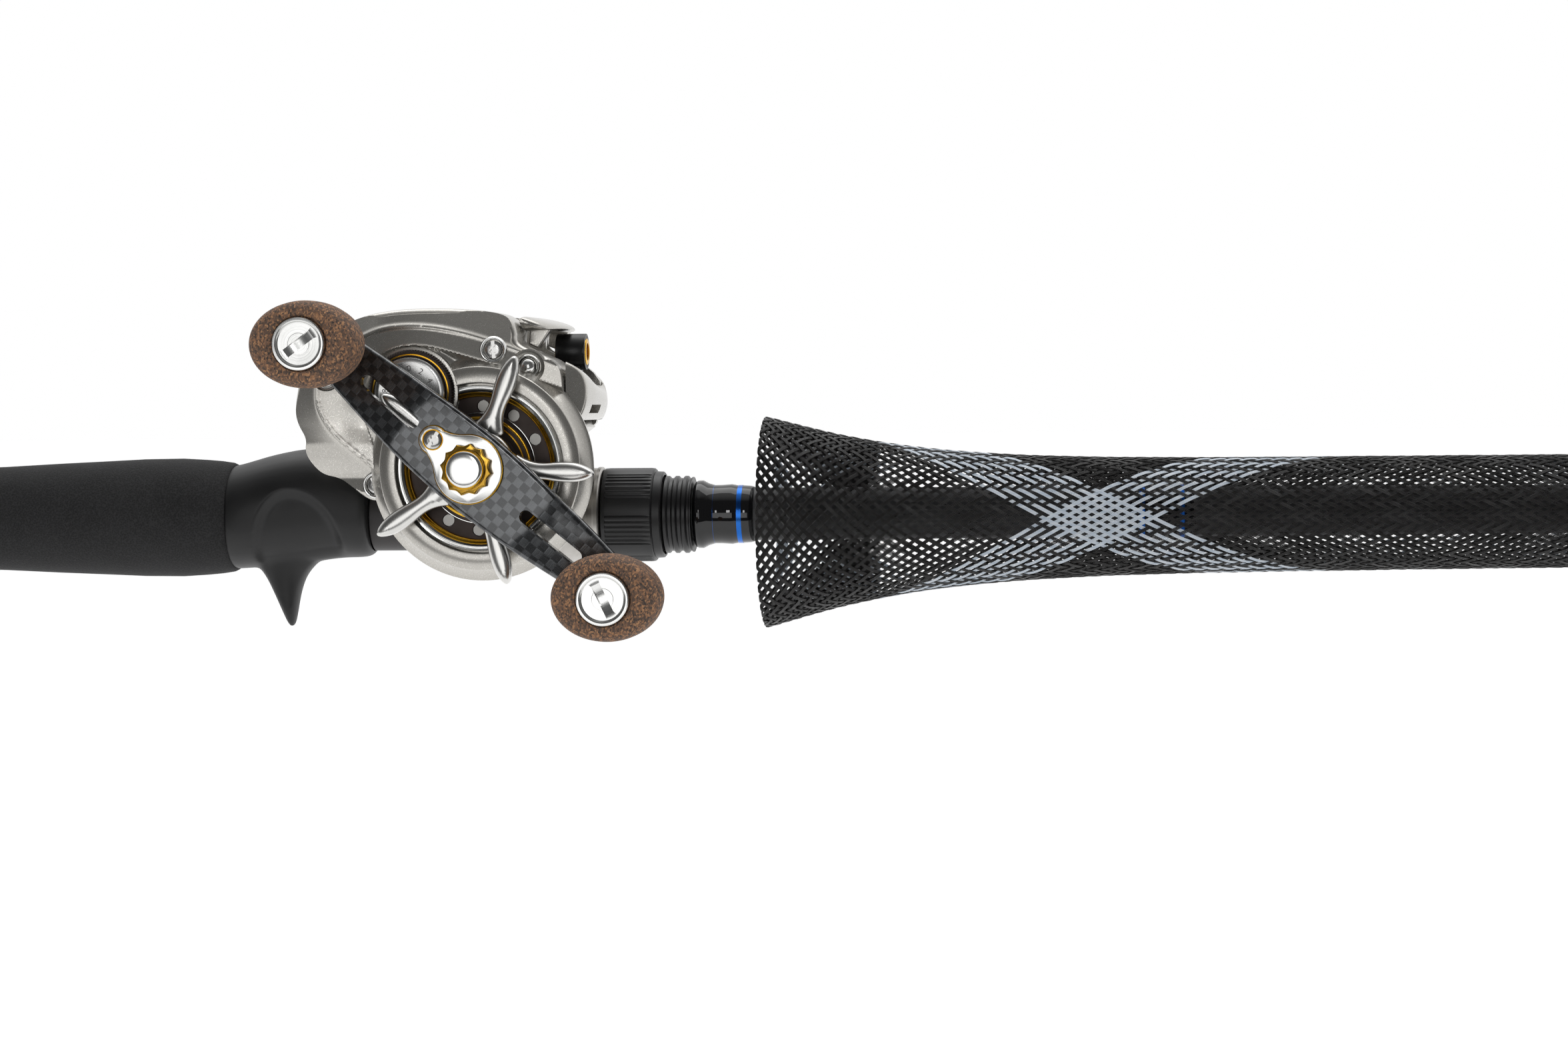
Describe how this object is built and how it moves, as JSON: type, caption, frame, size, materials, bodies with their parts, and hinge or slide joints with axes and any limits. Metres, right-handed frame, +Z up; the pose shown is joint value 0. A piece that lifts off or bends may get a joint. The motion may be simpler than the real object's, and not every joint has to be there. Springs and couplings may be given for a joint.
{
  "type": "fishing rod and reel",
  "caption": "Trigger-grip casting rod with a low-profile baitcasting reel, double-knob carbon handle and a braided protective sleeve over the blank.",
  "frame": {"origin": "on the rod's axis at the trigger, where the hand closes round the reel seat", "axes": "+X along the rod to its tip, +Z up on the reel's side, -Y on the handle's side"},
  "size_m": [2.004, 0.1053, 0.0822],
  "materials": {
    "carbon_blank": "satin grey clear coat over unidirectional carbon fibre",
    "eva_foam": "fine-celled sanded EVA foam, dull",
    "soft_touch": "moulded reel seat body with a soft-touch coat",
    "seat_tube": "dark grey filled nylon, satin",
    "stainless": "polished stainless steel sleeve",
    "gloss_epoxy": "thread winding under clear epoxy",
    "blue_metal": "blue anodised metal",
    "braid": "open braid of black monofilament with white tracers",
    "silver_paint": "warm metallic silver paint, satin",
    "bright_silver": "machined aluminium, bright",
    "dark_metal": "dark grey anodised aluminium",
    "gold": "gold anodised, polished",
    "steel": "turned stainless steel",
    "brass_gear": "cut brass",
    "carbon_weave": "twill carbon fibre plate under clear coat",
    "cork": "rubberised cork, sanded",
    "black_plastic": "injection moulded nylon, satin",
    "ceramic": "polished ceramic ring"
  },
  "bodies": {
    "rod": {"blank": "carbon_blank", "rear_grip": "eva_foam", "butt_cap": "black_plastic", "front_winding": "gloss_epoxy", "trim_ring": "blue_metal", "trigger_body": "soft_touch", "seat_tube": "seat_tube", "line_guide_1": "steel", "line_guide_2": "steel", "line_guide_3": "steel", "line_guide_4": "steel", "line_guide_5": "steel", "line_guide_6": "steel", "line_guide_7": "steel", "line_guide_8": "steel", "tip_top": "steel", "reel_frame": "silver_paint", "gear_cover": "silver_paint", "perforated_plate": "dark_metal", "outer_trim_ring": "gold", "inner_trim_ring": "gold", "cover_screw_1": "bright_silver", "cover_screw_2": "bright_silver", "cover_screw_3": "bright_silver", "cover_pin": "bright_silver", "palm_cover": "silver_paint", "thumb_rest": "silver_paint", "front_cover": "silver_paint", "gear_side_bearing": "steel", "palm_side_bearing": "steel", "guide_rail": "steel"},
    "crank": {"drive_shaft": "steel", "drive_gear": "brass_gear", "drag_washers": "dark_metal", "handle_arm": "carbon_weave", "nut_retainer": "bright_silver", "retainer_screw": "steel", "handle_nut": "gold", "rear_knob_post": "steel", "front_knob_post": "steel"},
    "star_wheel": {"star_drag": "bright_silver"},
    "rear_handle_knob": {"rear_knob": "cork", "rear_knob_cap": "bright_silver"},
    "front_handle_knob": {"front_knob": "cork", "front_knob_cap": "bright_silver"},
    "spool_set": {"spool": "bright_silver", "spool_shaft": "steel"},
    "pinion_gear": {"pinion": "brass_gear"},
    "clutch_fork": {"clutch_yoke": "steel"},
    "level_wind_worm": {"worm_shaft": "steel", "worm_gear": "black_plastic"},
    "line_guide_carriage": {"line_guide": "black_plastic", "line_guide_ring": "ceramic"},
    "spool_tension_knob": {"tension_knob": "bright_silver"},
    "brake_selector": {"brake_dial": "dark_metal"},
    "clutch_bar": {"thumb_bar": "black_plastic"},
    "front_hood": {"seat_hood": "stainless"},
    "screw_nut": {"locking_nut": "black_plastic"},
    "rod_sleeve": {"sleeve": "braid"}
  },
  "joints": [
    {"name": "crank_turn", "type": "hinge", "parent": "rod", "child": "crank", "pos_m": [0.05499, 0, 0.01274], "axis": [0, 1, 0], "continuous": true},
    {"name": "star_turn", "type": "hinge", "parent": "crank", "child": "star_wheel", "pos_m": [0.05499, 0, 0.01274], "axis": [0, 1, 0], "range_deg": [-540, 540]},
    {"name": "rear_knob_spin", "type": "hinge", "parent": "crank", "child": "rear_handle_knob", "pos_m": [0.01932, 0, 0.04289], "axis": [0, 1, 0], "continuous": true},
    {"name": "front_knob_spin", "type": "hinge", "parent": "crank", "child": "front_handle_knob", "pos_m": [0.09066, 0, -0.0174], "axis": [0, 1, 0], "continuous": true},
    {"name": "spool_spin", "type": "hinge", "parent": "rod", "child": "spool_set", "pos_m": [0.0384, 0, 0.0313], "axis": [0, 1, 0], "continuous": true},
    {"name": "pinion_shift", "type": "slide", "parent": "spool_set", "child": "pinion_gear", "axis": [0, -1, 0], "range_m": [0, 0.0018]},
    {"name": "fork_shift", "type": "slide", "parent": "rod", "child": "clutch_fork", "axis": [0, -1, 0], "range_m": [0, 0.0018]},
    {"name": "worm_spin", "type": "hinge", "parent": "rod", "child": "level_wind_worm", "pos_m": [0.0726, 0, 0.03176], "axis": [0, 1, 0], "continuous": true},
    {"name": "level_wind_travel", "type": "slide", "parent": "rod", "child": "line_guide_carriage", "axis": [0, 1, 0], "range_m": [-0.009, 0.009]},
    {"name": "tension_turn", "type": "hinge", "parent": "rod", "child": "spool_tension_knob", "pos_m": [0.0384, 0, 0.0313], "axis": [0, 1, 0], "range_deg": [-540, 540]},
    {"name": "brake_turn", "type": "hinge", "parent": "rod", "child": "brake_selector", "pos_m": [0.0384, 0, 0.0313], "axis": [0, 1, 0], "range_deg": [-150, 150]},
    {"name": "thumb_press", "type": "slide", "parent": "rod", "child": "clutch_bar", "axis": [0, 0, -1], "range_m": [0, 0.0045]},
    {"name": "hood_travel", "type": "slide", "parent": "rod", "child": "front_hood", "axis": [1, 0, 0], "range_m": [0, 0.006]},
    {"name": "nut_turn", "type": "hinge", "parent": "front_hood", "child": "screw_nut", "pos_m": [0.088, 0, 0], "axis": [1, 0, 0], "range_deg": [0, 900]},
    {"name": "sleeve_draw", "type": "slide", "parent": "rod", "child": "rod_sleeve", "axis": [1, 0, 0], "range_m": [0, 1.65]}
  ],
  "couplings": [
    {"joint": "spool_spin", "follows": "crank_turn", "ratio": -7.1111},
    {"joint": "worm_spin", "follows": "crank_turn", "ratio": -5.3333},
    {"joint": "fork_shift", "follows": "thumb_press", "ratio": 0.4},
    {"joint": "pinion_shift", "follows": "thumb_press", "ratio": 0.4},
    {"joint": "hood_travel", "follows": "nut_turn", "m_per_rad": 0.00038197}
  ]
}
